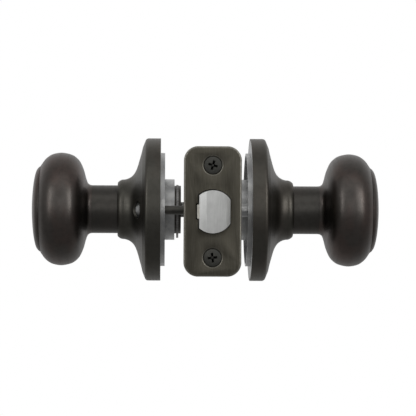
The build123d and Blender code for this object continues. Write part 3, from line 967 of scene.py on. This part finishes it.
@dataclass
class LatchFront:
    """The faceplate at the door's edge.

    Attributes:
        corner: Its corner radius, in metres.
        rounding: Rounding of its front edge.
        bolt_r: Radius of the bolt's round part.
        gap: Gap left round the bolt.
        strip: Half the height of the bolt's wear strip.
    """

    corner: float = 6.35 * MM
    rounding: float = 0.85 * MM
    bolt_r: float = 9.3 * MM
    gap: float = 0.45 * MM
    strip: float = 3.05 * MM

    def opening(self, centre: Vector, low: Vector, high: Vector) -> bpy.types.Object:
        """The cutter of the bolt's opening, round above and below and flat at the sides.

        Args:
            centre: Middle of the plate.
            low: Lowest corner of the bolt's strip and body.
            high: Highest corner of the bolt. Not used.

        Returns:
            The cutter.
        """
        Bench.clear()
        bpy.ops.mesh.primitive_cylinder_add(
            vertices=160, radius=self.bolt_r + self.gap, depth=8 * MM, location=centre,
            rotation=(pi / 2, 0, 0))
        piece = bpy.context.object
        bpy.ops.object.transform_apply(location=True, rotation=True, scale=True)
        bpy.ops.object.mode_set(mode="EDIT")
        for spot, way in ((centre.x - 6.0 * MM - self.gap, -1), (centre.x + 7.7 * MM + self.gap, 1)):
            bpy.ops.mesh.select_all(action="SELECT")
            bpy.ops.mesh.bisect(plane_co=(spot, 0, 0), plane_no=(way, 0, 0), use_fill=True, clear_outer=True)
        bpy.ops.object.mode_set(mode="OBJECT")
        reach = self.strip + self.gap
        notch = Bench.block(
            "notch", (low.x - self.gap, centre.y - 4 * MM, -reach), (centre.x, centre.y + 4 * MM, reach))
        Bench.modify(piece, "BOOLEAN", operation="UNION", solver="EXACT", object=notch)
        bpy.data.objects.remove(notch, do_unlink=True)
        return piece

    def build(self) -> None:
        """Shape the plate, sink its screw seats, cut the opening and soften every edge."""
        low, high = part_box("latch_faceplate")
        plate = Bench.block("front_plate", low, high)
        Bench.take(plate)
        Bench.edit("EDGE")
        verts = plate.data.vertices
        run = 0.1 * MM
        Bench.pick(plate, "edges", lambda e: abs(verts[e.vertices[0]].co.y - verts[e.vertices[1]].co.y) > run)
        bpy.ops.mesh.bevel(offset=self.corner, segments=20, affect="EDGES")
        on_front = low.y + 0.01 * MM
        Bench.pick(plate, "edges", lambda e: all(plate.data.vertices[v].co.y < on_front for v in e.vertices))
        bpy.ops.mesh.bevel(offset=self.rounding, segments=6, affect="EDGES")
        bpy.ops.object.mode_set(mode="OBJECT")
        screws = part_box("faceplate_screws")
        x = (low.x + high.x) / 2
        spread = screws[1].z - 3.95 * MM
        front = low.y
        seat = outline_mm((
            (-0.5, 0.0), (-0.5, 4.85), (0.0, 4.6), (0.05, 4.45), (0.16, 4.25), (0.28, 4.15), (0.35, 4.1),
            (1.95, 2.5), (6.0, 2.5), (6.0, 0.0),
        ))
        for z in (spread, -spread):
            Bench.cut(plate, Bench.turn("seat", seat, "Y", 96, Vector((x, front, z))))
        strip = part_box("bolt_wear_strip")[0]
        Bench.cut(plate, self.opening(Vector((x, (low.y + high.y) / 2, 0)), strip, high))
        Bench.modify(
            plate, "BEVEL", width=0.09 * MM, segments=2, limit_method="ANGLE", angle_limit=radians(50))
        Bench.settle(plate, "front_plate", 34)
        hand_over(plate, Shelf.plate, "latch_faceplate", "chassis")


@dataclass
class Bolt:
    """The sprung latch bolt with its bevel, collar and wear strip.

    Attributes:
        land: Width of the flat nose beside the bevel, in metres.
        flat: How far the flat side is from the axis.
        far: How far the cut-off bevel side is from it.
        throw: How far the nose stands out of the plate. Not used.
        heel: How far the bevel's foot stands out of it.
    """

    land: float = 3.0 * MM
    flat: float = 6.0 * MM
    far: float = 7.7 * MM
    throw: float = 12.7 * MM
    heel: float = 1.6 * MM

    def build_head(self) -> bpy.types.Object:
        """The bolt: a round bar cut flat at both sides, bevelled, collared and hollowed.

        Returns:
            The bolt.
        """
        low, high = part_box("latch_bolt")
        collar = (high.x - low.x) / 2
        x = (high.x + low.x) / 2
        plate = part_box("latch_faceplate")[0].y
        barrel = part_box("latch_barrel")[0].y
        Bench.clear()
        bpy.ops.mesh.primitive_cylinder_add(
            vertices=192, radius=collar - 0.6 * MM, depth=barrel - low.y + 0.5 * MM,
            location=(x, (low.y + barrel + 0.5 * MM) / 2, 0), rotation=(pi / 2, 0, 0))
        piece = bpy.context.object
        bpy.ops.object.transform_apply(location=True, rotation=True, scale=True)
        bpy.ops.object.mode_set(mode="EDIT")
        nose = Vector((x - self.flat + self.land, low.y, 0))
        foot = Vector((x + self.far - 2.2 * MM, plate - self.heel - 2.4 * MM, 0))
        toe = Vector((x + self.far + 1.0 * MM, plate - self.heel + 1.6 * MM, 0))
        cuts = [
            (Vector((x - self.flat, 0, 0)), Vector((-1, 0, 0))),
            (Vector((x + self.far, 0, 0)), Vector((1, 0, 0))),
        ]
        for start, end in ((nose, foot), (foot, toe)):
            run = end - start
            cuts.append((start, Vector((run.y, -run.x, 0)).normalized()))
        for spot, way in cuts:
            bpy.ops.mesh.select_all(action="SELECT")
            bpy.ops.mesh.bisect(plane_co=spot, plane_no=way, use_fill=True, clear_outer=True)
        bpy.ops.object.mode_set(mode="OBJECT")
        back = high.y - barrel
        ring = [(0, 0), (0, collar - 0.25 * MM), (0.25 * MM, collar), (back - 0.25 * MM, collar),
                (back, collar - 0.25 * MM), (back, 0)]
        disc = Bench.turn("collar", ring, "Y", 192, Vector((x, barrel, 0)))
        Bench.modify(piece, "BOOLEAN", operation="UNION", solver="EXACT", object=disc)
        bpy.data.objects.remove(disc, do_unlink=True)
        strip_low, strip_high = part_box("bolt_wear_strip")
        seat = Bench.block(
            "seat", (x - self.flat - 1 * MM, strip_low.y - 0.05 * MM, strip_low.z - 0.05 * MM),
            (strip_high.x + 0.05 * MM, barrel, strip_high.z + 0.05 * MM))
        Bench.cut(piece, seat)
        yoke_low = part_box("retractor_yoke")[0]
        strap = 7.9 * MM
        cave = Bench.block(
            "cave", (x - 3.3 * MM, yoke_low.y - 12.8 * MM, -strap), (x + 3.3 * MM, high.y + 1 * MM, strap))
        Bench.cut(piece, cave)
        Bench.clear()
        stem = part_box("bolt_stem")
        bpy.ops.mesh.primitive_cylinder_add(
            vertices=48, radius=1.55 * MM, depth=10 * MM, location=(x, stem[0].y + 5 * MM - 0.05 * MM, 0),
            rotation=(pi / 2, 0, 0))
        tool = bpy.context.object
        bpy.ops.object.transform_apply(location=True, rotation=True, scale=True)
        Bench.cut(piece, tool)
        Bench.modify(
            piece, "BEVEL", width=0.16 * MM, segments=3, limit_method="ANGLE", angle_limit=radians(28))
        return Bench.settle(piece, "bolt_head", 30)

    def build_strip(self) -> bpy.types.Object:
        """The wear strip in the bolt's flat side, rounded where the strike rubs on it.

        Returns:
            The strip.
        """
        low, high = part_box("bolt_wear_strip")
        piece = Bench.block("wear_rib", low, high)
        Bench.take(piece)
        Bench.edit("EDGE")
        verts = piece.data.vertices
        Bench.pick(piece, "edges", lambda e: all(verts[v].co.x < low.x + 0.01 * MM for v in e.vertices))
        bpy.ops.mesh.bevel(offset=0.35 * MM, segments=5, affect="EDGES")
        bpy.ops.object.mode_set(mode="OBJECT")
        return Bench.settle(piece, "wear_rib", 32)

    def build(self) -> None:
        """Build and dress the bolt's pieces, and let them slide with it."""
        hand_over(self.build_head(), Shelf.bolt, "latch_bolt", "bolt")
        hand_over(self.build_strip(), Shelf.strip, "bolt_wear_strip", "bolt")


@dataclass
class BoltSpring:
    """The compression spring behind the bolt.

    Attributes:
        wire: Wire radius, in metres.
        turns: How many turns it has.
        travel: How far the bolt can be pushed in. Not used.
    """

    wire: float = 0.4 * MM
    turns: int = 9
    travel: float = 12.5 * MM

    def build(self) -> None:
        """Wind the spring from a ring of wire, close its ends and let it ride with the chassis."""
        low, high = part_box("bolt_spring")
        radius = (high.z - low.z) / 2 - self.wire
        x = (high.x + low.x) / 2
        length = high.y - low.y - 2 * self.wire
        Bench.clear()
        bpy.ops.mesh.primitive_circle_add(
            vertices=12, radius=self.wire, location=(radius, 0, 0), rotation=(pi / 2, 0, 0))
        piece = bpy.context.object
        bpy.ops.object.transform_apply(location=True, rotation=True, scale=True)
        Bench.modify(
            piece, "SCREW", axis="Z", angle=2 * pi, screw_offset=length / self.turns, iterations=self.turns,
            steps=56, render_steps=56)
        Bench.close_ends(piece)
        piece.rotation_euler = (-pi / 2, 0, 0)
        piece.location = (x, low.y + self.wire, 0)
        Bench.settle(piece, "coil_spring", 60)
        hand_over(piece, Shelf.spring, "bolt_spring", "chassis")
        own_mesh(piece)


@dataclass
class PlainNodes:
    """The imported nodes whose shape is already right, and the finish that each one gets.

    Attributes:
        finishes: Finish by node name.
    """

    finishes: dict[str, Finish] = field(default_factory=lambda: {
        "interior_rose": Shelf.rose, "exterior_rose": Shelf.rose,
        "interior_chassis": Shelf.zinc, "exterior_chassis": Shelf.zinc,
        "interior_bushing": Shelf.bearing, "exterior_bushing": Shelf.bearing,
        "interior_retaining_ring": Shelf.spring, "exterior_retaining_ring": Shelf.spring,
        # the backplate takes the darkened zinc plating, which is painted shade
        "mounting_posts": Shelf.zinc, "latch_backplate": Shelf.dull, "latch_barrel": Shelf.zinc,
        "spring_seat": Shelf.zinc, "latch_case_left": Shelf.zinc, "latch_case_right": Shelf.zinc,
        "case_rivets": Shelf.bright, "spindle": Shelf.bright, "retractor_hub": Shelf.bright,
        "retractor_yoke": Shelf.bright, "bolt_stem": Shelf.bright,
    })

    def build(self) -> None:
        """Dress the nodes."""
        for node, finish in self.finishes.items():
            finish.dress(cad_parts[node])
            log.info("%s: %s", node, finish.name)


# ---------------------------------------------------------------- studio
@dataclass
class Studio:
    """Pale floor, soft boxes, bright backdrop and the camera.

    Attributes:
        floor_z: Height of the floor.
        distance: From the camera to the latch's faceplate.
        view_width: Width seen at the faceplate.
        sensor: Width of the camera's sensor, in millimetres.
    """

    floor_z: float = -0.2
    distance: float = 0.775
    view_width: float = 0.1818
    sensor: float = 36.0

    def build_floor(self) -> None:
        """A round pale floor well below the set, which the polished metal doesn't mirror."""
        Bench.clear()
        bpy.ops.mesh.primitive_circle_add(
            vertices=96, radius=0.45, fill_type="TRIFAN", location=(0, 0, self.floor_z))
        floor = bpy.context.object
        floor.name = "floor"
        bpy.ops.object.transform_apply(location=True)
        Finish("pale_floor", (0.86, 0.86, 0.855), (0.83, 0.83, 0.825), 0.7, metal=0.0).dress(floor)
        floor.visible_glossy = False

    def build_world(self) -> None:
        """White for the camera; for the light a bright back, a dim front and a dark ground."""
        world = bpy.data.worlds.new("studio")
        bpy.context.scene.world = world
        world.use_nodes = True
        graph = Graph(world.node_tree)
        parts = graph.node("SeparateXYZ")
        graph.put(parts.inputs[0], graph.node("TexCoord").outputs["Generated"])
        ground = graph.fit(parts.outputs["Z"], -0.45, 0.3, 0.6, 1.0)
        glow = graph.math("MULTIPLY", graph.fit(parts.outputs["Y"], -0.1, 0.8, 0.32, 0.75), ground)
        seen = graph.node("LightPath").outputs["Is Camera Ray"]
        background = world.node_tree.nodes["Background"]
        background.inputs["Color"].default_value = (1, 1, 1, 1)
        graph.put(background.inputs["Strength"], graph.math("MAXIMUM", glow, seen))

    def soft_box(self, name: str, place: Sequence[float], size: Point, power: float,
                 aim: Sequence[float]) -> None:
        """A rectangular soft light.

        Args:
            name: Its name.
            place: Where it stands.
            size: Its width and height.
            power: Its power in watts.
            aim: The point that it faces.
        """
        Bench.clear()
        bpy.ops.object.light_add(type="AREA", location=place)
        lamp = bpy.context.object
        lamp.name = name
        lamp.data.shape = "RECTANGLE"
        lamp.data.size, lamp.data.size_y = size
        lamp.data.energy = power
        lamp.rotation_mode = "QUATERNION"
        lamp.rotation_quaternion = (Vector(aim) - Vector(place)).to_track_quat("-Z", "Y")

    def build_lights(self) -> None:
        """A large soft box above, a weak one in front and a tall one at each side."""
        self.soft_box("box_top", (0.0, -0.6, 0.95), (1.3, 0.7), 1.3, (0, 0, 0))
        self.soft_box("box_left", (-0.8, -0.75, 0.35), (0.4, 0.8), 2.3, (0, 0, 0))
        self.soft_box("box_right", (0.75, -0.8, 0.35), (0.4, 0.8), 3.1, (0, 0, 0))
        self.soft_box("box_front", (0.0, -1.15, 0.25), (0.7, 0.5), 0.7, (0, 0, 0))

    def build_camera(self) -> None:
        """The camera, level with the latch and a little to the interior side."""
        lens = bpy.data.cameras.new("camera")
        camera = bpy.data.objects.new("camera", lens)
        bpy.context.scene.collection.objects.link(camera)
        bpy.context.scene.camera = camera
        lens.sensor_width = self.sensor
        lens.lens = self.sensor * self.distance / self.view_width
        camera.location = (-0.018, -0.0603 - self.distance, 0.0107)
        look = Vector((0.01792, self.distance, -0.00918)).normalized()
        camera.rotation_mode = "QUATERNION"
        roll = Matrix.Rotation(radians(0.32), 4, "Z").to_quaternion()
        camera.rotation_quaternion = look.to_track_quat("-Z", "Y") @ roll

    def build(self) -> None:
        """Set up the whole studio."""
        self.build_world()
        self.build_floor()
        self.build_lights()
        self.build_camera()
        bpy.context.scene.view_settings.view_transform = "Standard"
        log.info("studio ready")


def main() -> None:
    """Build the set piece by piece, then the studio."""
    logging.basicConfig(level=logging.INFO, format="%(name)s %(message)s")
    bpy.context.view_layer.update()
    PlainNodes().build()
    for side in Side:
        Knob(side).build()
    LatchFront().build()
    Bolt().build()
    BoltSpring().build()
    Fasteners().build()
    Studio().build()
    Bench.clear()
    bpy.context.view_layer.update()


if __name__ == "__main__":
    main()
